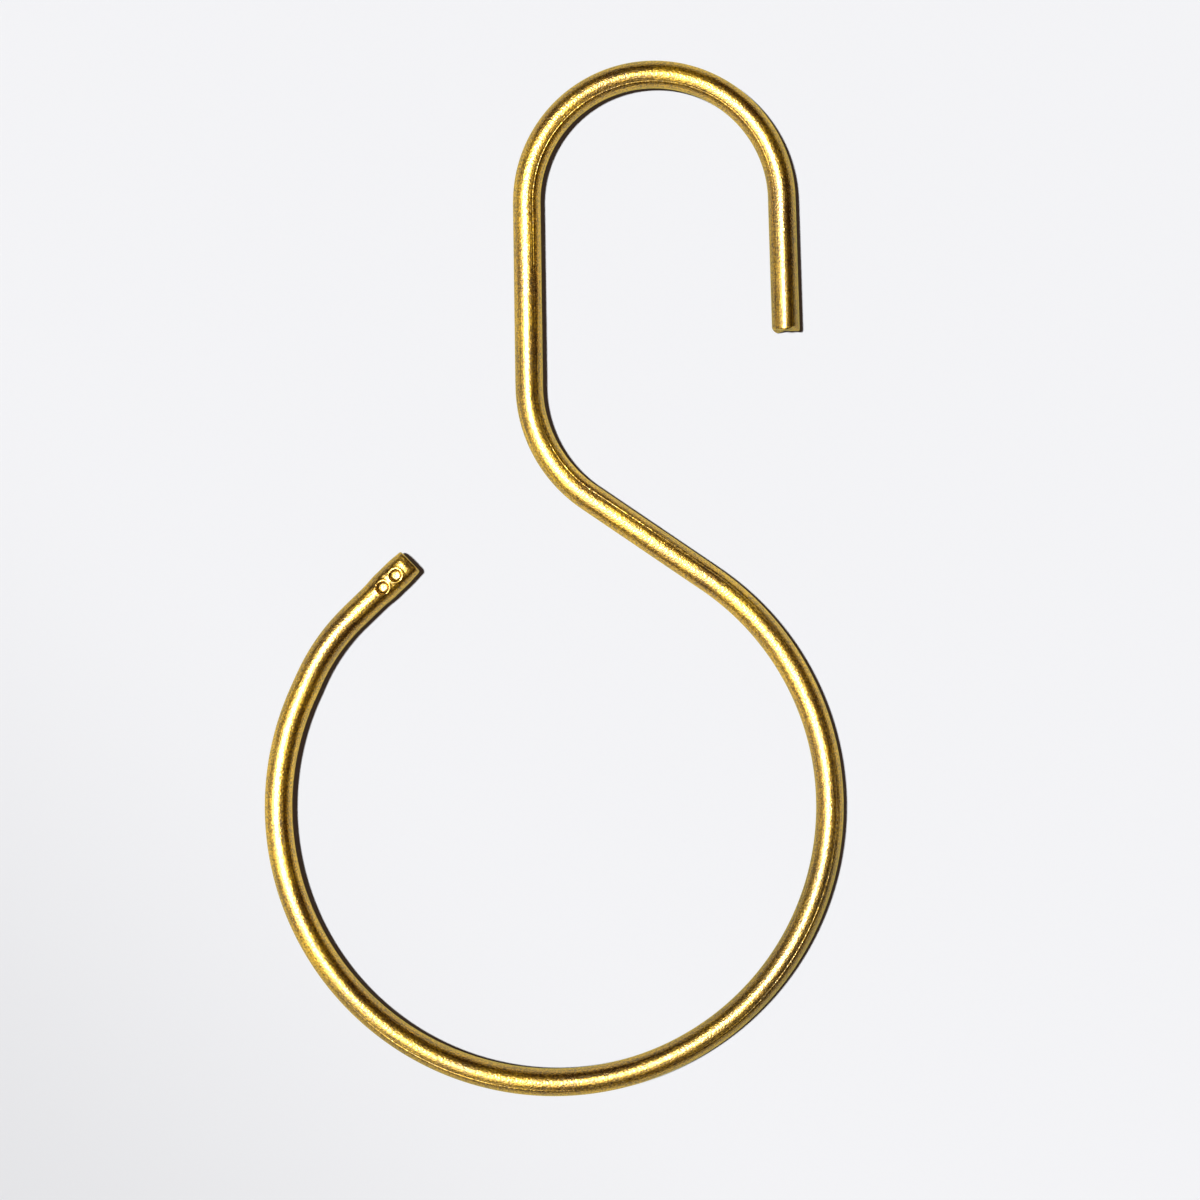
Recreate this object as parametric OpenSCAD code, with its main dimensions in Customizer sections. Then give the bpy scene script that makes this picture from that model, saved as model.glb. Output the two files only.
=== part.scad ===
// S hook bent from one length of round brass wire, lying flat as it rests on a table.
// The narrow bend hooks over a rail, and scarves, ties or tools hang in the open ring below it.

/* [Wire] */
// Diameter of the round wire
wire_d = 4.1; // [3:0.1:5]
// Bevel filed round both cut ends
end_bevel = 0.3; // [0.1:0.05:0.6]
// How much thinner the stretch of bending leaves the wire in a bend
bend_thinning = 0.02; // [0.02:0.01:0.1]

/* [Rail hook] */
// Straight length of the free leg
free_leg_l = 19.6; // [8:0.1:40]
// Centreline radius of the bend over the rail
top_r = 18.9; // [12:0.1:24]
// Turn of the bend over the rail, in degrees
top_angle = 179; // [165:0.1:185]
// Straight length of the back leg
back_leg_l = 27.1; // [15:0.1:60]

/* [Shoulder] */
// Centreline radius of the bend under the back leg
shoulder_r = 20.1; // [12:0.1:30]
// Turn of the bend under the back leg, in degrees
shoulder_angle = 55.1; // [45:0.1:65]
// Straight length between the shoulder and the ring
slant_l = 21.5; // [12:0.1:40]

/* [Ring] */
// Centreline radius of the ring
ring_r = 40.85; // [32:0.05:55]
// Turn of the ring, in degrees
ring_angle = 260.1; // [230:0.1:268]
// Straight length between the ring and the tip's own bend
ring_end_l = 2.4; // [0.5:0.1:6]
// Centreline radius of the tip's bend
tip_bend_r = 29.6; // [15:0.1:40]
// Turn of the tip's bend, in degrees
tip_angle = 21.7; // [10:0.1:30]
// Straight length of the tip
tip_l = 11.9; // [11:0.1:16]

/* [Struck tip] */
// Length of the tip that the hammer has spread
struck_l = 8; // [7.5:0.1:10]
// How far each side is spread
spread = 0.15; // [0.05:0.05:0.3]
// How deep the upper and lower sides are pressed flat
press = 0.15; // [0.05:0.05:0.3]
// Number of round dents on the upper side
dent_count = 2; // [1:1:2]
// Width of a dent
dent_d = 1.9; // [0.8:0.1:2]
// Depth of a dent
dent_depth = 0.35; // [0.1:0.05:0.5]
// Distance between the centres of two dents
dent_pitch = 2.6; // [2.1:0.1:3]
// Distance from the cut end to the centre of the nearest dent
dent_margin = 3; // [1.5:0.1:3]

/* [Hidden] */
wire_r = wire_d / 2;
bend_wire_r = wire_r - bend_thinning / 2;
// A straight run laps onto its bends, and its end is the step down to the thinner wire
lap = 0.05;
// Length over which the tip swells to its spread, and its flats run out
swell_l = 1.2;
// Facets round the wire, and round a whole turn of a bend
wire_facets = 48;
bend_facets = 240;
// The wire's runs, each a straight length and the radius and turn of the bend after it.
// A turn to the left is positive, and one to the right negative.
RUNS = [
    [free_leg_l, top_r, top_angle],
    [back_leg_l, shoulder_r, shoulder_angle],
    [slant_l, ring_r, -ring_angle],
    [ring_end_l, tip_bend_r, -tip_angle],
    [tip_l, 0, 0]
];
tip_run = len(RUNS) - 1;
// A pose is [x, y, heading] on the centreline. The back leg heads along -Y.
back_leg_heading = 270;
first_pose = [0, 0, back_leg_heading - top_angle];

function ahead(pose, l) = [pose.x + l * cos(pose.z), pose.y + l * sin(pose.z), pose.z];
function turned(pose, r, turn) =
    let (side = sign(turn), heading = pose.z + turn)
    [
        pose.x + side * r * (sin(heading) - sin(pose.z)),
        pose.y - side * r * (cos(heading) - cos(pose.z)),
        heading
    ];
function bend_start(i) = ahead(run_start(i), RUNS[i][0]);
function run_start(i) = i == 0 ? first_pose : turned(bend_start(i - 1), RUNS[i - 1][1], RUNS[i - 1][2]);

// The points of a bend that can be outermost: its ends, and where it heads along an axis
function bend_points(i) =
    let (pose = bend_start(i), r = RUNS[i][1], turn = RUNS[i][2])
    [
        pose,
        for (quarter = [-4 : 8])
            let (part = 90 * quarter - pose.z)
            if (part * turn > 0 && abs(part) <= abs(turn)) turned(pose, r, part),
        turned(pose, r, turn)
    ];
OUTER = [
    first_pose,
    for (i = [0 : tip_run - 1]) each bend_points(i),
    ahead(run_start(tip_run), tip_l)
];
OUTER_X = [for (p = OUTER) p.x];
OUTER_Y = [for (p = OUTER) p.y];
middle = [(min(OUTER_X) + max(OUTER_X)) / 2, (min(OUTER_Y) + max(OUTER_Y)) / 2];

module at(pose) {
    translate([pose.x, pose.y, 0])
        rotate([0, 0, pose.z])
            children();
}

// Straight wire along +X through the given [radius, distance] points
module straight(points) {
    rotate([0, 90, 0])
        rotate_extrude($fn = wire_facets)
            polygon([[0, points[0].y], each points, [0, points[len(points) - 1].y]]);
}

// A bend that starts along +X and turns about a centre at its side
module bend(r, turn) {
    side = sign(turn);
    translate([0, side * r, 0])
        rotate([0, 0, side > 0 ? -90 : 90 + turn])
            rotate_extrude(angle = abs(turn), $fn = bend_facets)
                translate([r, 0])
                    circle(r = bend_wire_r, $fn = wire_facets);
}

module free_leg() {
    straight([[wire_r - end_bevel, 0], [wire_r, end_bevel], [wire_r, free_leg_l + lap]]);
}

// The upper and lower flats, as two wedges that cut into the wire from above and below
module flats() {
    start = tip_l - struck_l;
    for (side = [-1, 1])
        rotate([90, 0, 0])
            linear_extrude(height = 2 * wire_d, center = true)
                polygon([
                    [start, side * wire_r],
                    [start + swell_l, side * (wire_r - press)],
                    [tip_l + wire_d, side * (wire_r - press)],
                    [tip_l + wire_d, side * wire_d],
                    [start, side * wire_d]
                ]);
}

module dents() {
    ball_r = (pow(dent_d / 2, 2) + pow(dent_depth, 2)) / (2 * dent_depth);
    for (i = [0 : dent_count - 1])
        translate([tip_l - dent_margin - i * dent_pitch, 0, wire_r - press - dent_depth + ball_r])
            sphere(r = ball_r, $fn = wire_facets);
}

module struck_tip() {
    difference() {
        straight([
            [wire_r, -lap],
            [wire_r, tip_l - struck_l],
            [wire_r + spread, tip_l - struck_l + swell_l],
            [wire_r + spread, tip_l - swell_l],
            [wire_r, tip_l - end_bevel],
            [wire_r - end_bevel, tip_l]
        ]);
        flats();
        dents();
    }
}

module hook() {
    color([0.72, 0.53, 0.2])
        translate([-middle.x, -middle.y, wire_r]) {
            at(run_start(0)) free_leg();
            for (i = [1 : tip_run - 1])
                at(run_start(i)) straight([[wire_r, -lap], [wire_r, RUNS[i][0] + lap]]);
            at(run_start(tip_run)) struck_tip();
            for (i = [0 : tip_run - 1])
                at(bend_start(i)) bend(RUNS[i][1], RUNS[i][2]);
        }
}

hook();
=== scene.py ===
"""Dresses the packed S hook: a satin brass wire bent into an S, lying on white paper."""

import math

import bpy
import numpy as np
from bpy.props import FloatProperty, FloatVectorProperty, IntProperty, PointerProperty
from bpy.types import Operator, Panel, PropertyGroup
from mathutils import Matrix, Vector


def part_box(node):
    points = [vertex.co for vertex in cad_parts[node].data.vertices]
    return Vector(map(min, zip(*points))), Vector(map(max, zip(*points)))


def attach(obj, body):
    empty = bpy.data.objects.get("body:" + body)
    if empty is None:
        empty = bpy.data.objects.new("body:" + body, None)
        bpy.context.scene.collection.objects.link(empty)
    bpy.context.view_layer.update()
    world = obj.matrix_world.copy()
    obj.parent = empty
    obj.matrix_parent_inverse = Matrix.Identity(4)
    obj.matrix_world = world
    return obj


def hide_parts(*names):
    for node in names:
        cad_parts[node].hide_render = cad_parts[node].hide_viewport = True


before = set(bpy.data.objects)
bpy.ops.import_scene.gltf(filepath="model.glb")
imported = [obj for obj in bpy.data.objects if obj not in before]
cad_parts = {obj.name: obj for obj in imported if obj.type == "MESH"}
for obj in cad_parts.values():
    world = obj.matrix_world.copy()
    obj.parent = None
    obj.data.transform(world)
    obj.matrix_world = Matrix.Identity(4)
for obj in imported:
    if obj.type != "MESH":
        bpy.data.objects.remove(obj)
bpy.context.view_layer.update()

bl_info = {
    "name": "S Hook",
    "version": (1, 0, 0),
    "blender": (4, 5, 0),
    "location": "View3D > Sidebar > S Hook",
    "description": "Bends a satin brass wire hook and lays it on white paper",
    "category": "Add Mesh",
}

MM = 0.001
NODE = "hook"
NODE_LOW, NODE_HIGH = (np.array(corner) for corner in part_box(NODE))


def length(name, description, default_mm, low_mm=0.0, high_mm=1000.0):
    """A FloatProperty for a length, given in millimetres and kept in metres."""
    return FloatProperty(
        name=name,
        description=description,
        default=default_mm * MM,
        min=low_mm * MM,
        max=high_mm * MM,
        precision=5,
        unit="LENGTH",
    )


def angle(name, description, default_deg, low_deg=-360.0, high_deg=360.0):
    """A FloatProperty for an angle, given in degrees and kept in radians."""
    return FloatProperty(
        name=name,
        description=description,
        default=math.radians(default_deg),
        min=math.radians(low_deg),
        max=math.radians(high_deg),
        unit="ROTATION",
        subtype="ANGLE",
    )


def colour(name, description, default):
    """A FloatVectorProperty for a linear colour."""
    return FloatVectorProperty(
        name=name,
        description=description,
        default=default,
        size=3,
        min=0.0,
        max=1.0,
        subtype="COLOR",
    )


def share(name, description, default, low=0.0, high=1.0):
    """A FloatProperty for a plain number."""
    return FloatProperty(name=name, description=description, default=default, min=low, max=high)


class HookWire(PropertyGroup):
    """Sizes of the wire and of the runs that it is bent in."""

    thickness: length("Thickness", "Diameter of the round wire", (NODE_HIGH - NODE_LOW)[2] / MM)
    thinning: length("Thinning", "How much thinner the wire is in the bends", 0.02)
    bevel: length("End bevel", "Bevel filed round both cut ends", 0.3)
    free_leg: length("Free leg", "Straight length of the free leg", 19.6)
    top_radius: length("Rail bend", "Centreline radius of the bend over the rail", 18.9)
    top_angle: angle("Rail bend angle", "Turn of the bend over the rail", 179.0)
    back_leg: length("Back leg", "Straight length of the back leg", 27.1)
    shoulder_radius: length("Shoulder", "Centreline radius of the bend under the back leg", 20.1)
    shoulder_angle: angle("Shoulder angle", "Turn of the bend under the back leg", 55.1)
    slant: length("Slant", "Straight length between the shoulder and the ring", 21.5)
    ring_radius: length("Ring", "Centreline radius of the ring", 40.85)
    ring_angle: angle("Ring angle", "Turn of the ring", 260.1)
    ring_end: length("Ring end", "Straight length between the ring and the tip's bend", 2.4)
    tip_radius: length("Tip bend", "Centreline radius of the tip's bend", 29.6)
    tip_angle: angle("Tip bend angle", "Turn of the tip's bend", 21.7)
    tip: length("Tip", "Straight length of the tip", 11.9)
    facet: length("Facet", "Depth of the shallow facet that bending pressed into the top", 0.06)
    die_line_depth: length("Die line depth", "Depth of the line that the die left", 0.054)
    die_line_place: angle("Die line place", "Where the die line runs, from the top to the left", 28.0)
    die_line_drift: angle("Die line drift", "How far the die line wanders round the wire", 5.0)
    die_line_lead: angle("Die line lead", "How much further it lies at the free leg's end", 14.0)
    slant_cut: length("Cut slant", "How far the free leg's cut leans out at the bottom", 0.1)
    pinch: length("Pinch", "How far the cutter's jaws left the free leg's end uneven", 0.16)


class HookTip(PropertyGroup):
    """Sizes of the struck tip and of its round dents."""

    struck: length("Struck length", "Length of the tip that the hammer has spread", 8.0)
    spread: length("Spread", "How far each side is spread", 0.15)
    press: length("Press", "How deep the upper and lower sides are pressed", 0.15)
    dents: IntProperty(name="Dents", description="Number of round dents", default=2, min=0, max=3)
    dent_width: length("Dent width", "Width of a dent", 1.9)
    dent_depth: length("Dent depth", "Depth of a dent", 0.35)
    dent_pitch: length("Dent pitch", "Distance between the centres of two dents", 2.6)
    dent_margin: length("Dent margin", "From the cut end to the centre of the nearest dent", 3.0)
    rim: length("Rim", "Height of the rim that a punch throws up round a dent", 0.07)
    roll: length("Roll", "How far the upper side rolls down to the cut end", 0.35)


class HookFinish(PropertyGroup):
    """Colours and finish of the brass."""

    brass: colour("Brass", "Colour of the clean metal", (0.9, 0.53, 0.014))
    edge: colour("Edge", "Tint of what the brass reflects where it turns away", (1.0, 0.95, 0.1))
    tarnish: colour("Tarnish", "Colour of the lightly tarnished patches", (0.6, 0.3, 0.01))
    patch: length("Patch", "Size of the tarnished patches", 7.0)
    mottle: length("Mottle", "Size of the blotches that break up their borders", 1.1)
    speck: colour("Specks", "Colour of the dark specks", (0.10, 0.065, 0.03))
    speck_size: length("Speck size", "Size of the noise whose peaks are the specks", 0.75)
    roughness: share("Roughness", "Roughness of the satin surface", 0.31)
    rougher: share("Rougher", "How far the roughness goes up and down from it", 0.08)
    grain: length("Grain", "Size of the satin finish's grain", 0.3)
    grain_depth: length("Grain depth", "Depth of the satin finish's grain", 0.06)
    pore: length("Pore", "Size of the satin finish's dull pores", 0.3)
    pore_shade: share("Pore shade", "How much darker the pores are", 0.58)
    streak: length("Streak", "Width of the drawing streaks", 0.16)
    streak_shade: share("Streak shade", "How much darker the dull streaks are", 0.52)
    streak_depth: length("Streak depth", "Depth of the drawing streaks", 0.012)
    # Clean brass here has no painted shade along the wire, and dull brass has the most
    burnish: share("Burnish", "How much of the clean brass a bright burnished skin covers", 0.27)
    shaded_burnish: share("Dull burnish", "How much of the dull brass it covers", 0.2)
    skin_roughness: share("Skin roughness", "Roughness of the burnished skin", 0.24)
    skin_index: share("Skin index", "Index of refraction of the burnished skin", 4.0, 1.0, 4.0)


class HookStage(PropertyGroup):
    """Paper, lamps and camera."""

    paper: colour("Paper", "Colour of the paper", (0.881, 0.896, 0.925))
    shade: share("Shade", "How much less light the paper gets towards -X and -Y", 0.15)
    shade_start: length("Shade start", "Where the light starts to fall off, as -X - Y", 45.0)
    shade_end: length("Shade end", "Where it has fallen off, as -X - Y", 208.0)
    room: colour("Room", "Colour of the dim room round the hook", (1.0, 0.42, 0.1))
    room_level: share("Room level", "Brightness of the dim room in the brass", 0.05, 0.0, 2.0)
    fill: colour("Fill", "Colour of the dim light that reaches into the shadow", (1.0, 0.64, 0.42))
    fill_level: share("Fill level", "Brightness of that dim light", 0.042, 0.0, 2.0)
    wall_level: share("Wall level", "Brightness of the low walls round the paper", 0.3, 0.0, 2.0)
    glow: colour("Glow", "Colour of the lamp's warm glow on the ceiling", (1.0, 0.85, 0.22))
    glow_level: share("Glow level", "Brightness of the warm glow", 0.86, 0.0, 9.0)
    glow_tilt: share("Glow tilt", "How far its middle lies to -X, as a sine", 0.24, -1.0)
    glow_length: share("Glow length", "Half length of the glow along X, as a sine", 0.52)
    glow_width: share("Glow width", "Half width of the glow along Y, as a sine", 0.4)
    soft_level: share("Diffuser level", "Brightness of the lamp's white diffuser", 6.1, 0.0, 20.0)
    soft_tilt: share("Diffuser tilt", "How far its middle lies to -X, as a sine", 0.36, -1.0)
    soft_length: share("Diffuser length", "Half length of the diffuser along X, as a sine", 0.35)
    soft_width: share("Diffuser width", "Half width of the diffuser along Y, as a sine", 0.33)
    lean: share("Lean", "How far both lie to -Y, as a sine", 0.11, -1.0)
    lamp_level: share("Lamp level", "Strength of the lamp", 3.2, 0.0, 20.0)
    lamp_height: angle("Lamp height", "Height of the lamp above the paper", 74.0)
    lamp_side: angle("Lamp side", "Where the lamp stands, from +X round to +Y", 171.0)
    lamp_size: angle("Lamp size", "Width of the lamp seen from the hook", 4.0)
    camera_x: length("Camera X", "Where the camera stands over the hook", 7.2, -1000.0)
    camera_y: length("Camera Y", "Where the camera stands over the hook", -3.19, -1000.0)
    camera_height: length("Camera height", "Height of the camera over the wire's axis", 592.7)
    camera_view: length("View width", "Width of the view at the wire's axis", 177.82)
    camera_roll: angle("Camera roll", "Turn of the camera about its own axis", -0.778)


# The wire's shape

# How far the wire may leave its solid's box
BOX_TOLERANCE = 0.15 * MM
# Points along the bent centreline that find its middle
OUTLINE_POINTS = 20001

# Distances between the grid's rows, and how far before the struck tip its closer rows start
STRAIGHT_PITCH = 1.0 * MM
BEND_PITCH = 0.45 * MM
STRUCK_PITCH = 0.08 * MM
STRUCK_LEAD = 1.0 * MM
# Rows on a cut end's bevel and on its flat disc
BEVEL_ROWS = 8
DISC_ROWS = 6
# Columns spread evenly round the wire, those at the die line, and the least angle between both
EVEN_COLUMNS = 96
DIE_COLUMNS = 13
COLUMN_GAP = 0.01

# Width of the die line as an angle, and its two lips: their height as a share of its depth,
# and their place and the square of their width, both counted in widths of the line
DIE_LINE_WIDTH = math.radians(2.4)
LIP_HEIGHT = 0.3
LIP_PLACE = 1.9
LIP_SPREAD = 0.5
# Lengths of the slow waves in the line's place and depth, and of its lead at the free leg
WANDER_LONG = 19 * MM
WANDER_SHORT = 7.3 * MM
DEPTH_WAVE = 11 * MM
LEAD_LENGTH = 18 * MM
# Where the die line has run out, and over how much before that, as shares of the wire's length
LINE_STOP = 0.86
LINE_FADE = 0.1

# Length over which the tip swells and over which it narrows again, the share of it that would
# lie past the cut end, and how softly the flats meet the round sides
SWELL = 3.0 * MM
END_SWELL = 0.2
FLAT_BLEND = 0.5 * MM
# Length over which the upper side rolls down at the cut end
ROLL_LENGTH = 1.2 * MM
# How softly a dent meets the flat, its rim's place in half widths and its rim's width, and how
# much more of the spread the sides bulge beside it and over which length
DENT_BLEND = 0.06 * MM
RIM_PLACE = 1.12
RIM_WIDTH = 0.26 * MM
BULGE_SHARE = 0.15
BULGE_LENGTH = 1.1 * MM
# How far along the wire the cutter has bent the free leg's end
CUT_REACH = 1.0 * MM
# Keeps a blend of no length from dividing by zero
TINY = 1e-9

# Width of the facet along the top, as an angle from its middle
FACET_WIDTH = 0.5
# How the wire wears and is shaded along its length: the place along it, how much of the facet's
# depth it has there, negative where the top is crowned, and the share of the brass's colour that
# its painted shade leaves there
WEAR = np.array(
    [
        (0.00, -1.8, 0.55),
        (0.04, -1.1, 0.58),
        (0.10, 0.2, 0.9),
        (0.15, -0.6, 0.75),
        (0.20, 0.0, 0.9),
        (0.26, 0.1, 0.88),
        (0.30, -0.9, 0.72),
        (0.33, 0.6, 1.0),
        (0.40, 0.8, 1.0),
        (0.46, 0.8, 1.0),
        (0.50, 0.2, 0.8),
        (0.56, -0.7, 0.44),
        (0.62, -0.4, 0.5),
        (0.68, 0.0, 0.74),
        (0.77, -0.6, 0.66),
        (0.82, 0.0, 0.9),
        (0.86, 0.9, 1.0),
        (0.91, 0.3, 0.95),
        (0.95, 0.0, 0.78),
        (1.00, 0.0, 0.78),
    ]
)
WEAR_PLACE, WEAR_FACET, WEAR_PAINTED_LIGHT = WEAR.T


def travel(distance, curvature, heading):
    """How far a pose moves: a chord of distance * sinc(turn / 2) along its middle heading."""
    turn = distance * curvature
    chord = distance * np.sinc(turn / (2 * np.pi))
    middle = heading + turn / 2
    return np.stack([chord * np.cos(middle), chord * np.sin(middle)], axis=-1)


def bend_runs(wire):
    """Start points, headings, lengths and curvatures of the wire's runs.

    A straight run has no curvature. A bend of radius r and angle a has the length r a and the
    curvature 1 / r, positive to the left. The back leg heads along -Y.
    """
    plan = (
        (wire.free_leg, wire.top_radius, wire.top_angle),
        (wire.back_leg, wire.shoulder_radius, wire.shoulder_angle),
        (wire.slant, wire.ring_radius, -wire.ring_angle),
        (wire.ring_end, wire.tip_radius, -wire.tip_angle),
    )
    lengths, curvatures = [], []
    for straight, radius, turn in plan:
        lengths += [straight, radius * abs(turn)]
        curvatures += [0.0, math.copysign(1 / radius, turn)]
    lengths, curvatures = np.array([*lengths, wire.tip]), np.array([*curvatures, 0.0])
    turned = np.cumsum(lengths * curvatures)
    headings = -math.pi / 2 - wire.top_angle + np.concatenate([[0], turned[:-1]])
    moved = np.cumsum(travel(lengths, curvatures, headings), axis=0)
    return np.concatenate([[[0, 0]], moved[:-1]]), headings, lengths, curvatures


def follow(runs, s):
    """Points, headings and curvatures at the distances s along the centreline."""
    starts, headings, lengths, curvatures = runs
    ends = np.cumsum(lengths)
    run = np.clip(np.searchsorted(ends, s, side="right"), 0, len(lengths) - 1)
    into = s - (ends - lengths)[run]
    points = starts[run] + travel(into, curvatures[run], headings[run])
    return points, headings[run] + into * curvatures[run], curvatures[run]


def ease(x):
    """0 below 0, 1 above 1, and 3x^2 - 2x^3 between."""
    x = np.clip(x, 0, 1)
    return x * x * (3 - 2 * x)


def soft_min(a, b, blend):
    """The lesser of a and b, rounded over the distance blend where they cross."""
    mix = np.clip(0.5 + 0.5 * (b - a) / blend, 0, 1)
    return a * mix + b * (1 - mix) - blend * mix * (1 - mix)


def rows_along(wire, tip, runs):
    """Distances along the wire and section scales, one for each row of the grid.

    Each cut end is a flat disc and a quarter-round bevel: s = b (1 - cos t) and
    scale = 1 - b / r (1 - sin t). Bends have closer rows than straight runs, and the struck
    tip has the closest.
    """
    lengths, curvatures = runs[2:]
    total = lengths.sum()
    cut = 2 * wire.bevel / wire.thickness
    turn = np.linspace(0, math.pi / 2, BEVEL_ROWS, endpoint=False)
    disc = np.linspace(0, 1 - cut, DISC_ROWS + 2)[1:-1]
    end_s = np.concatenate([np.zeros_like(disc), wire.bevel * (1 - np.cos(turn))])
    end_scale = np.concatenate([disc, 1 - cut * (1 - np.sin(turn))])
    struck_from = total - tip.struck - STRUCK_LEAD
    body = []
    for end, run, curvature in zip(np.cumsum(lengths), lengths, curvatures):
        start, stop = max(end - run, wire.bevel), min(end, struck_from)
        count = math.ceil((stop - start) / (BEND_PITCH if curvature else STRAIGHT_PITCH))
        body.append(np.linspace(start, stop, count, endpoint=False))
    struck_count = math.ceil((total - wire.bevel - struck_from) / STRUCK_PITCH)
    body.append(np.linspace(struck_from, total - wire.bevel, struck_count))
    body = np.concatenate(body)
    s = np.concatenate([end_s, body, total - end_s[::-1]])
    return s, np.concatenate([end_scale, np.ones_like(body), end_scale[::-1]])


def columns_round(wire):
    """Angles round the wire, from the underside over the left to the underside again.

    They count from the top, positive to the left of the wire's heading, and stand closer where
    the die line runs.
    """
    even = np.linspace(-math.pi, math.pi, EVEN_COLUMNS, endpoint=False)
    reach = 3 * DIE_LINE_WIDTH
    near = wire.die_line_place + np.linspace(-reach, reach, DIE_COLUMNS)
    before, after = even[even < near[0] - COLUMN_GAP], even[even > near[-1] + COLUMN_GAP]
    return np.concatenate([before, near, after])


def die_line(wire, s, t, total):
    """Depth of the die line at the distances s and the angles t, negative on its two lips.

    It is d(s) (exp(-x^2) - h exp(-(|x| - p)^2 / q)), with x in line widths from its middle and
    the lips' height h, place p and spread q. Its middle and its depth d wander along the wire.
    """
    wander = np.sin(s / WANDER_LONG) + 0.5 * np.sin(s / WANDER_SHORT + 1)
    place = wire.die_line_place + wire.die_line_drift * wander / 1.5
    place = place + wire.die_line_lead * np.exp(-s / LEAD_LENGTH)
    x = (t - place) / DIE_LINE_WIDTH
    line = np.exp(-(x**2)) - LIP_HEIGHT * np.exp(-((np.abs(x) - LIP_PLACE) ** 2) / LIP_SPREAD)
    fade = ease((LINE_STOP * total - s) / (LINE_FADE * total))
    depth = wire.die_line_depth * fade * (0.7 + 0.3 * np.sin(s / DEPTH_WAVE + 2))
    return depth * line


def facet_depth(wire, s, t, total):
    """How much lower the top is, facet * wear * exp(-(t / width)^2) at the angle t from it."""
    pressed = wire.facet * np.interp(s / total, WEAR_PLACE, WEAR_FACET)
    return pressed * np.exp(-((t / FACET_WIDTH) ** 2))


def strike(wire, tip, from_end, left, up):
    """Left and up offsets after the hammer, at the distances from_end before the tip's cut end.

    The wire is spread sideways, pressed flat above and below, and rolled down at its end.
    """
    radius = wire.thickness / 2
    struck = ease((tip.struck - from_end) / SWELL)
    swell = struck * ease((from_end + END_SWELL * SWELL) / SWELL)
    left = left * (1 + tip.spread / radius * swell)
    rolled = tip.roll * ease(1 - from_end / ROLL_LENGTH) * (up > 0)
    flat = radius - tip.press * struck - rolled + FLAT_BLEND / 4 * (1 - struck)
    pressed = np.sign(up) * soft_min(np.abs(up), flat, FLAT_BLEND * struck + TINY)
    return left, np.where(from_end < tip.struck + STRUCK_LEAD, pressed, up)


def dent(wire, tip, away, left, up):
    """Left and up offsets after a round punch, at the distances away along the wire from it.

    At x half widths from its centre the floor is depth * (1 - x^5) below the flat, and the rim
    stands rim * exp(-((distance - place) / width)^2) high round the edge. The sides bulge.
    """
    radius, half = wire.thickness / 2, tip.dent_width / 2
    distance = np.hypot(away, left)
    floor = radius - tip.press - tip.dent_depth * (1 - np.minimum(distance / half, 3) ** 5)
    rim = tip.rim * np.exp(-(((distance - RIM_PLACE * half) / RIM_WIDTH) ** 2))
    up = np.where(up > 0, soft_min(up + rim, floor, DENT_BLEND), up)
    bulge = BULGE_SHARE * tip.spread / radius * np.exp(-((away / BULGE_LENGTH) ** 2))
    return left * (1 + bulge), up


def cut_end(wire, s, t, left, up):
    """Forward offsets that leave the free leg's cut end wavy and slanted.

    The waves sin(3t + 0.6) + 0.6 sin(5t + 2.2) grow with the square of the distance from the
    axis, the slant grows with the height, and both fade out along the wire.
    """
    radius = wire.thickness / 2
    waves = np.sin(3 * t + 0.6) + 0.6 * np.sin(5 * t + 2.2)
    at_end = ease(1 - s / CUT_REACH)
    wavy = wire.pinch * waves * at_end * (np.hypot(left, up) / radius) ** 2
    return wire.slant_cut * at_end * up / radius - wavy


def section(wire, tip, s, t, total, curvature):
    """Left, up and forward offsets from the wire's axis, at the distances s and the angles t.

    The section is a circle, less the thinning in the bends, the facet and the die line. The tip
    is struck and dented, and the free leg's end is cut.
    """
    thin = wire.thinning / 2 * (curvature != 0)
    worn = facet_depth(wire, s, t, total)
    rho = wire.thickness / 2 - thin - worn - die_line(wire, s, t, total)
    left, up = strike(wire, tip, total - s, rho * np.sin(t), rho * np.cos(t))
    for i in range(tip.dents):
        away = total - s - tip.dent_margin - i * tip.dent_pitch
        left, up = dent(wire, tip, away, left, up)
    return left, up, cut_end(wire, s, t, left, up)


def wire_points(wire, tip, runs, s, scale, around):
    """The grid's points, a row of them for each distance s, and the middles of both cut ends."""
    total = runs[2].sum()
    points, heading, curvature = follow(runs, s)
    outline = follow(runs, np.linspace(0, total, OUTLINE_POINTS))[0]
    points = points - (outline.min(axis=0) + outline.max(axis=0)) / 2
    offsets = section(wire, tip, s[:, None], around[None, :], total, curvature[:, None])
    left, up, forward = (part * scale[:, None] for part in offsets)
    across, along = np.sin(heading)[:, None], np.cos(heading)[:, None]
    x = points[:, :1] - across * left + along * forward
    y = points[:, 1:] + along * left + across * forward
    axis_height = wire.thickness / 2
    grid = np.stack([x, y, axis_height + up], axis=-1)
    middles = np.c_[points[[0, -1]], [axis_height, axis_height]]
    return np.concatenate([grid.reshape(-1, 3), middles])


def grid_faces(rows, columns):
    """Faces with four corners between the rows, and a fan of triangles on each cut end."""
    index = np.arange(rows * columns).reshape(rows, columns)
    ahead = np.roll(index, -1, axis=1)
    quads = np.stack([index[:-1], index[1:], ahead[1:], ahead[:-1]], axis=-1).reshape(-1, 4)
    first, last = index.size, index.size + 1
    start_fan = np.stack([np.full(columns, first), index[0], ahead[0]], axis=-1)
    end_fan = np.stack([np.full(columns, last), ahead[-1], index[-1]], axis=-1)
    return [quads, start_fan, end_fan]


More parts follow.
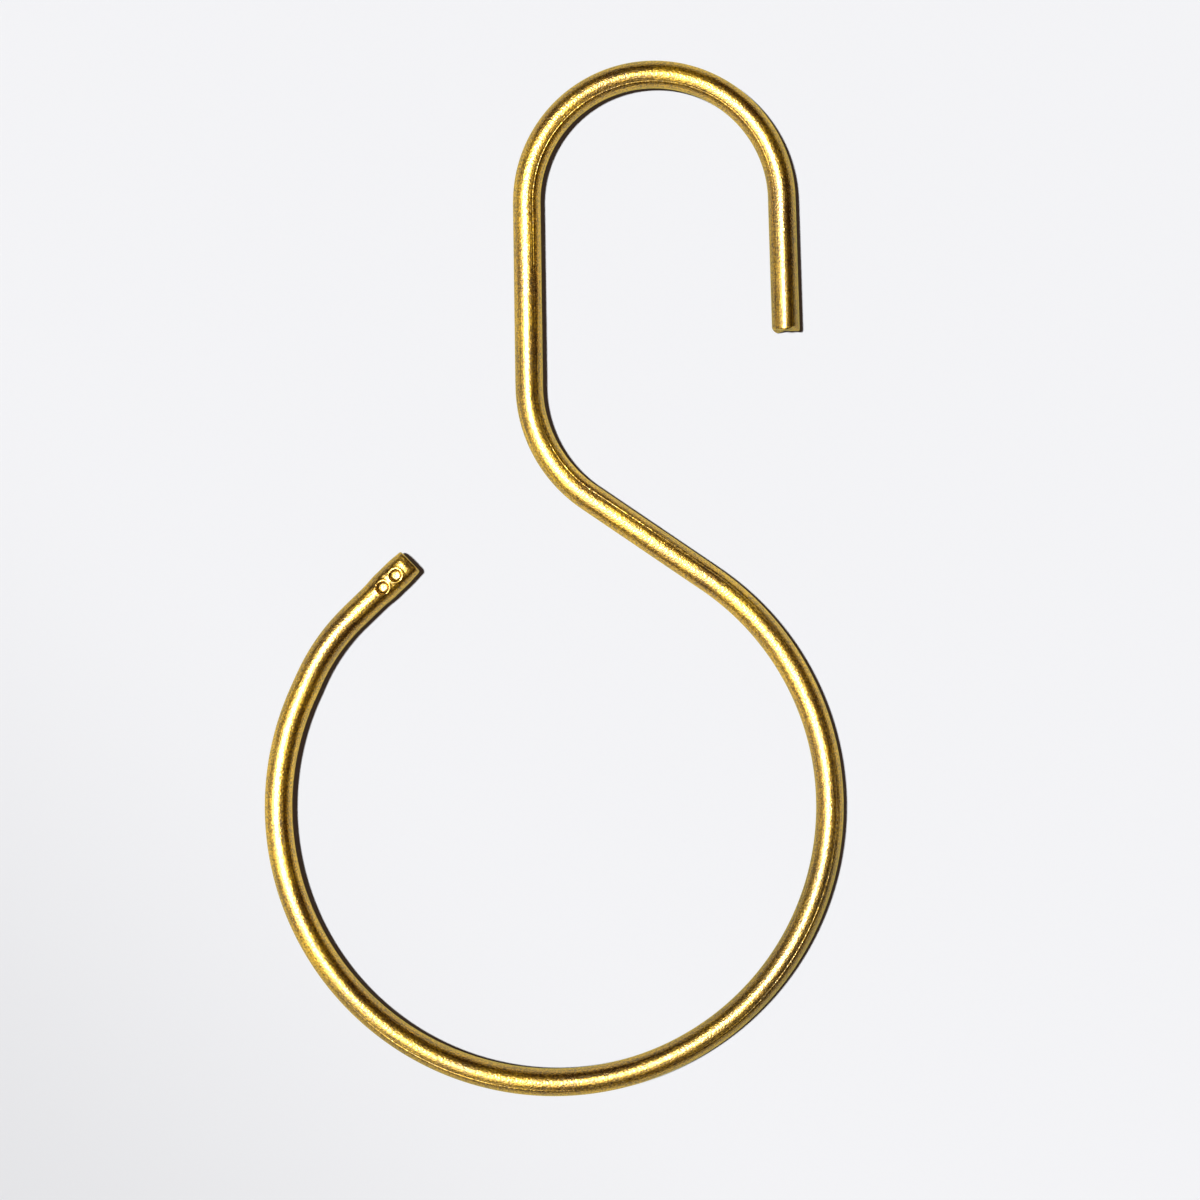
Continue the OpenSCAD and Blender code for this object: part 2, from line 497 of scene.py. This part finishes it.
def grid_map(along, around):
    """Map coordinates of the same faces' corners, U along the wire and V round it, from 0 to 1."""
    v = np.append(around, around[0] + 2 * math.pi) / (2 * math.pi) + 0.5
    uv = np.stack(np.meshgrid(along, v, indexing="ij"), axis=-1)
    quads = np.stack([uv[:-1, :-1], uv[1:, :-1], uv[1:, 1:], uv[:-1, 1:]], axis=2)
    middle_v = (v[:-1] + v[1:]) / 2
    start_fan = np.stack([np.c_[0 * middle_v, middle_v], uv[0, :-1], uv[0, 1:]], axis=1)
    end_fan = np.stack([np.c_[0 * middle_v + 1, middle_v], uv[-1, 1:], uv[-1, :-1]], axis=1)
    return np.concatenate([corners.reshape(-1, 2) for corners in (quads, start_fan, end_fan)])


def wire_grid(wire, tip):
    """Vertices, faces and map coordinates of the whole wire."""
    runs = bend_runs(wire)
    s, scale = rows_along(wire, tip, runs)
    around = columns_round(wire)
    vertices = wire_points(wire, tip, runs, s, scale, around)
    return vertices, grid_faces(len(s), len(around)), grid_map(s / runs[2].sum(), around)


def mesh_from(name, vertices, face_sets, map_uv):
    """A smooth mesh object from whole arrays of vertices, faces and map coordinates."""
    mesh = bpy.data.meshes.new(name)
    corners = np.concatenate([faces.ravel() for faces in face_sets])
    sizes = np.concatenate([np.full(len(faces), faces.shape[1]) for faces in face_sets])
    mesh.vertices.add(len(vertices))
    mesh.vertices.foreach_set("co", vertices.ravel())
    mesh.loops.add(len(corners))
    mesh.loops.foreach_set("vertex_index", corners)
    mesh.polygons.add(len(sizes))
    mesh.polygons.foreach_set("loop_start", np.concatenate([[0], np.cumsum(sizes)[:-1]]))
    mesh.polygons.foreach_set("use_smooth", np.ones(len(sizes), dtype=bool))
    layer = mesh.uv_layers.new(name="wire")
    layer.data.foreach_set("uv", map_uv.ravel())
    mesh.update(calc_edges=True)
    if mesh.validate():
        raise RuntimeError(f"the mesh of {name} had bad faces")
    piece = bpy.data.objects.new(name, mesh)
    bpy.context.collection.objects.link(piece)
    return piece


# Finishes

# A drawing streak is this many times as long as it is wide
STREAK_STRETCH = 60
# Pores and streaks are darkest up to the first value of their noise, and lightest from the second
DARK_NOISE, LIGHT_NOISE = 0.35, 0.6
# The mottle's share in the tarnish, where the two together start to tarnish the brass and where
# they are done, and how far that goes
MOTTLE_SHARE = 0.3
TARNISH_START, TARNISH_FULL, TARNISH_MOST = 0.5, 1.0, 0.9
# Where the noise starts to be a speck, where it is one, and how much the speck covers
SPECK_START, SPECK_FULL, SPECK_MOST = 0.74, 0.78, 0.85
# The surface is roughest up to the first value of the patches' noise, and smoothest from the second
ROUGH_PATCH, SMOOTH_PATCH = 0.3, 0.7
# The room's low walls are brightest up to the first height and gone at the second, as sines
WALL_LOW, WALL_HIGH = 0.03, 0.16
# Half width of the paper
PAPER_REACH = 3.0


class NodeTree:
    """Adds shader nodes and links to one material or world."""

    def __init__(self, owner):
        """Starts with an empty tree."""
        owner.use_nodes = True
        self.tree = owner.node_tree
        self.tree.nodes.clear()

    def node(self, kind, inputs=(), **settings):
        """A node with its settings, and its input sockets set to values or linked from sockets."""
        node = self.tree.nodes.new(kind)
        for key, value in settings.items():
            setattr(node, key, value)
        for key, value in dict(inputs).items():
            if isinstance(value, bpy.types.NodeSocket):
                self.tree.links.new(value, node.inputs[key])
            else:
                node.inputs[key].default_value = value
        return node

    def calc(self, operation, first, second=0.0):
        """One arithmetic step."""
        return self.node("ShaderNodeMath", {0: first, 1: second}, operation=operation).outputs[0]

    def ramp(self, factor, low, high, low_value=0.0, high_value=1.0, **settings):
        """The factor's stretch from low to high, spread from low_value to high_value."""
        inputs = {"Value": factor, 1: low, 2: high, 3: low_value, 4: high_value}
        return self.node("ShaderNodeMapRange", inputs, **settings).outputs["Result"]

    def curve(self, factor, places, values):
        """A value that follows the given values at the given places from 0 to 1."""
        node = self.node("ShaderNodeValToRGB", {"Fac": factor})
        stops = node.color_ramp.elements
        while len(stops) < len(places):
            stops.new(1.0)
        for stop, place, value in zip(stops, places, values):
            stop.position, stop.color = place, (value, value, value, 1.0)
        return node.outputs["Color"]

    def noise(self, vector, scale, detail=2.0, roughness=0.5):
        """A noise texture's value, from 0 to 1."""
        inputs = {"Vector": vector, "Scale": scale, "Detail": detail, "Roughness": roughness}
        return self.node("ShaderNodeTexNoise", inputs).outputs[0]

    def mix(self, factor, first, second, blend="MIX"):
        """Two colours mixed by the factor."""
        inputs = {0: factor, 6: first, 7: second}
        settings = {"data_type": "RGBA", "blend_type": blend}
        return self.node("ShaderNodeMix", inputs, **settings).outputs[2]

    def light(self, noise, shade):
        """A share of light, 1 - shade where the noise is low and 1 + shade / 4 where it is high."""
        return self.ramp(noise, DARK_NOISE, LIGHT_NOISE, 1 - shade, 1 + shade / 4)

    def bump(self, height, depth, **others):
        """The normal of a surface whose height stands out by up to the depth."""
        inputs = {"Strength": 1.0, "Distance": depth, "Height": height, **others}
        return self.node("ShaderNodeBump", inputs).outputs["Normal"]

    def shine(self, tint, level):
        """Light of one colour, whose level can change with the direction."""
        inputs = {"Color": (*tint, 1.0), "Strength": level}
        return self.node("ShaderNodeBackground", inputs).outputs[0]

    def both(self, first, second):
        """Two lights together."""
        return self.node("ShaderNodeAddShader", {0: first, 1: second}).outputs[0]

    def choose(self, ray, other, seen):
        """The light seen by one kind of ray, and the other light for all other rays."""
        return self.node("ShaderNodeMixShader", {0: ray, 1: other, 2: seen}).outputs[0]


def satin_brass(finish, wire, total):
    """Satin drawn brass with a thin burnished skin.

    It has a fine grain with dull pores, long drawing streaks, tarnished patches and dark specks,
    and painted shade along the wire: as WEAR says, its colour is darker and its skin thinner there.
    """
    material = bpy.data.materials.new("satin_brass")
    nodes = NodeTree(material)
    place = nodes.node("ShaderNodeTexCoord").outputs
    spot, uv = place["Object"], place["UV"]
    along = nodes.node("ShaderNodeSeparateXYZ", {0: uv}).outputs["X"]
    girth = math.pi * wire.thickness
    scale = (total / (STREAK_STRETCH * finish.streak), girth / finish.streak, 1.0)
    drawn = nodes.node("ShaderNodeMapping", {"Vector": uv, "Scale": scale}).outputs["Vector"]

    patches = nodes.noise(spot, 1 / finish.patch, detail=3.0, roughness=0.55)
    mottle = nodes.noise(spot, 1 / finish.mottle, roughness=0.6)
    streaks = nodes.noise(drawn, 1.0)
    grain = nodes.noise(spot, 1 / finish.grain, roughness=0.6)
    pores = nodes.noise(spot, 1 / finish.pore, detail=1.0)
    specks = nodes.noise(spot, 1 / finish.speck_size, detail=1.0)
    # Painted shade along the wire: the share of the brass's colour that is left at each place
    clean = nodes.curve(along, WEAR_PLACE, WEAR_PAINTED_LIGHT)

    stained = nodes.calc("ADD", patches, nodes.calc("MULTIPLY", mottle, MOTTLE_SHARE))
    tarnished = nodes.ramp(stained, TARNISH_START, TARNISH_FULL, 0.0, TARNISH_MOST)
    pore_light = nodes.light(pores, finish.pore_shade)
    streak_light = nodes.light(streaks, finish.streak_shade)
    specked = nodes.ramp(specks, SPECK_START, SPECK_FULL, 0.0, SPECK_MOST)
    metal = nodes.mix(tarnished, (*finish.brass, 1.0), (*finish.tarnish, 1.0))
    metal = nodes.mix(1.0, metal, nodes.calc("MULTIPLY", pore_light, streak_light), "MULTIPLY")
    # Painted shade: the brass is darkened along the wire by that share
    metal = nodes.mix(1.0, metal, clean, "MULTIPLY")
    metal = nodes.mix(specked, metal, (*finish.speck, 1.0))

    roughest, smoothest = finish.roughness + finish.rougher, finish.roughness - finish.rougher
    roughness = nodes.ramp(patches, ROUGH_PATCH, SMOOTH_PATCH, roughest, smoothest)
    # Where more shade is painted along the wire, the burnished skin is thinner
    burnished = nodes.ramp(clean, WEAR_PAINTED_LIGHT.min(), 1.0, finish.shaded_burnish, finish.burnish)
    grained = nodes.bump(grain, finish.grain_depth)
    surface = nodes.bump(streaks, finish.streak_depth, Normal=grained)
    shader = nodes.node(
        "ShaderNodeBsdfPrincipled",
        {
            "Base Color": metal,
            "Metallic": 1.0,
            "Roughness": roughness,
            "Normal": surface,
            "Specular Tint": (*finish.edge, 1.0),
            "Coat Weight": burnished,
            "Coat Roughness": finish.skin_roughness,
            "Coat IOR": finish.skin_index,
            "Coat Normal": surface,
        },
    )
    nodes.node("ShaderNodeOutputMaterial", {"Surface": shader.outputs[0]})
    return material


def plain_paper(stage):
    """Matt white paper with painted shade: its colour is a little darker towards -X and -Y."""
    material = bpy.data.materials.new("white_paper")
    nodes = NodeTree(material)
    spot = nodes.node("ShaderNodeTexCoord").outputs["Object"]
    x, y, _ = nodes.node("ShaderNodeSeparateXYZ", {0: spot}).outputs
    # Painted shade on the paper, fading in smoothly from the shade's start to its end
    ends = (-stage.shade_end, -stage.shade_start, 1 - stage.shade, 1.0)
    light = nodes.ramp(nodes.calc("ADD", x, y), *ends, interpolation_type="SMOOTHSTEP")
    paper = nodes.mix(1.0, (*stage.paper, 1.0), light, "MULTIPLY")
    shader = nodes.node(
        "ShaderNodeBsdfPrincipled",
        {"Base Color": paper, "Roughness": 0.9, "Specular IOR Level": 0.1},
    )
    nodes.node("ShaderNodeOutputMaterial", {"Surface": shader.outputs[0]})
    return material


def light_pool(nodes, way, level, middle, half_size):
    """Brightness of a light overhead, level * exp(-(x / a)^2 - (y / b)^2) round its middle.

    The way is the X, Y and height of a direction, which are sines of how far it leans.
    """
    x, y, height = way
    along = nodes.calc("DIVIDE", nodes.calc("SUBTRACT", x, middle[0]), half_size[0])
    across = nodes.calc("DIVIDE", nodes.calc("SUBTRACT", y, middle[1]), half_size[1])
    off = nodes.calc("ADD", nodes.calc("POWER", along, 2.0), nodes.calc("POWER", across, 2.0))
    light = nodes.calc("DIVIDE", level, nodes.calc("EXPONENT", off))
    return nodes.calc("MULTIPLY", light, nodes.calc("GREATER_THAN", height, 0.0))


def lit_room(stage):
    """A dim warm room under a glowing ceiling, which shows in reflections alone.

    Its other light is only the dim fill, and past the paper's edge the camera sees the paper's
    colour.
    """
    world = bpy.data.worlds.new("room")
    nodes = NodeTree(world)
    rays = nodes.node("ShaderNodeLightPath").outputs
    facing = nodes.node("ShaderNodeTexCoord").outputs["Generated"]
    way = tuple(nodes.node("ShaderNodeSeparateXYZ", {0: facing}).outputs)
    middle, size = (-stage.glow_tilt, -stage.lean), (stage.glow_length, stage.glow_width)
    glow = light_pool(nodes, way, stage.glow_level, middle, size)
    middle, size = (-stage.soft_tilt, -stage.lean), (stage.soft_length, stage.soft_width)
    diffuser = light_pool(nodes, way, stage.soft_level, middle, size)
    wall = nodes.ramp(way[2], WALL_LOW, WALL_HIGH, stage.wall_level, 0.0)

    room = nodes.shine(stage.room, stage.room_level)
    room = nodes.both(room, nodes.shine(stage.paper, diffuser))
    room = nodes.both(room, nodes.shine(stage.glow, nodes.calc("ADD", glow, wall)))
    fill = nodes.shine(stage.fill, stage.fill_level)
    seen = nodes.choose(rays["Is Glossy Ray"], fill, room)
    seen = nodes.choose(rays["Is Camera Ray"], seen, nodes.shine(stage.paper, 1.0))
    nodes.node("ShaderNodeOutputWorld", {"Surface": seen})
    return world


# Operators


class HOOK_OT_bend_wire(Operator):
    """Bends the brass wire, strikes its tip and gives it its finish"""

    bl_idname = "hook.bend_wire"
    bl_label = "Bend the wire"

    def execute(self, context):
        wire, tip = context.scene.hook_wire, context.scene.hook_tip
        vertices, face_sets, map_uv = wire_grid(wire, tip)
        low, high = vertices.min(axis=0), vertices.max(axis=0)
        off = max(np.abs(low - NODE_LOW).max(), np.abs(high - NODE_HIGH).max())
        if off > BOX_TOLERANCE:
            raise RuntimeError(f"the wire leaves its place by {off / MM:.2f} mm")
        piece = mesh_from("brass_wire", vertices, face_sets, map_uv)
        total = bend_runs(wire)[2].sum()
        piece.data.materials.append(satin_brass(context.scene.hook_finish, wire, total))
        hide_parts(NODE)
        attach(piece, "root")
        # Without this the brass throws a warm glow on the paper, which the photograph lacks
        piece.visible_diffuse = False
        return {"FINISHED"}


class HOOK_OT_set_stage(Operator):
    """Lays the paper and sets the lamp, the room and the camera"""

    bl_idname = "hook.set_stage"
    bl_label = "Set the stage"

    def execute(self, context):
        stage, wire = context.scene.hook_stage, context.scene.hook_wire
        self.lay_paper(stage)
        self.set_lamp(stage)
        self.set_camera(stage, wire.thickness / 2)
        context.scene.world = lit_room(stage)
        context.scene.view_settings.view_transform = "Standard"
        return {"FINISHED"}

    def lay_paper(self, stage):
        """A square sheet of paper under the hook."""
        corners = PAPER_REACH * np.array([[-1, -1, 0], [1, -1, 0], [1, 1, 0], [-1, 1, 0]])
        mesh = bpy.data.meshes.new("paper")
        mesh.from_pydata(corners.tolist(), [], [(0, 1, 2, 3)])
        paper = bpy.data.objects.new("paper", mesh)
        mesh.materials.append(plain_paper(stage))
        bpy.context.collection.objects.link(paper)

    def set_lamp(self, stage):
        """The lamp that throws the wire's shadow."""
        lamp = bpy.data.lights.new("lamp", "SUN")
        lamp.energy = stage.lamp_level
        lamp.angle = stage.lamp_size
        holder = bpy.data.objects.new("lamp", lamp)
        holder.rotation_euler = (0.0, math.pi / 2 - stage.lamp_height, stage.lamp_side)
        bpy.context.collection.objects.link(holder)

    def set_camera(self, stage, axis_height):
        """A camera that looks straight down and sees as much as the photograph."""
        lens = bpy.data.cameras.new("camera")
        lens.sensor_width = 36.0
        lens.lens = lens.sensor_width * stage.camera_height / stage.camera_view
        lens.clip_start, lens.clip_end = 0.01, 20.0
        camera = bpy.data.objects.new("camera", lens)
        camera.location = (stage.camera_x, stage.camera_y, axis_height + stage.camera_height)
        camera.rotation_euler = (0.0, 0.0, stage.camera_roll)
        bpy.context.collection.objects.link(camera)
        bpy.context.scene.camera = camera


class HOOK_PT_panel(Panel):
    """Lists the hook's steps and sizes"""

    bl_idname = "HOOK_PT_panel"
    bl_label = "S Hook"
    bl_space_type = "VIEW_3D"
    bl_region_type = "UI"
    bl_category = "S Hook"

    def draw(self, context):
        """A button for each step, and a box of sizes for each group."""
        for step in STEPS:
            self.layout.operator(step.bl_idname)
        for name, group in GROUPS.items():
            box = self.layout.box()
            box.label(text=group.__doc__)
            for key in group.__annotations__:
                box.prop(getattr(context.scene, name), key)


STEPS = (HOOK_OT_bend_wire, HOOK_OT_set_stage)
GROUPS = {
    "hook_wire": HookWire,
    "hook_tip": HookTip,
    "hook_finish": HookFinish,
    "hook_stage": HookStage,
}


def register():
    """Adds the classes, and the groups of sizes to the scene."""
    for group in (*GROUPS.values(), *STEPS, HOOK_PT_panel):
        bpy.utils.register_class(group)
    for name, group in GROUPS.items():
        setattr(bpy.types.Scene, name, PointerProperty(type=group))


def unregister():
    """Takes them away again."""
    for name in GROUPS:
        delattr(bpy.types.Scene, name)
    for group in (HOOK_PT_panel, *STEPS, *GROUPS.values()):
        bpy.utils.unregister_class(group)


def main():
    register()
    bpy.ops.hook.bend_wire()
    bpy.ops.hook.set_stage()


if __name__ == "__main__":
    main()
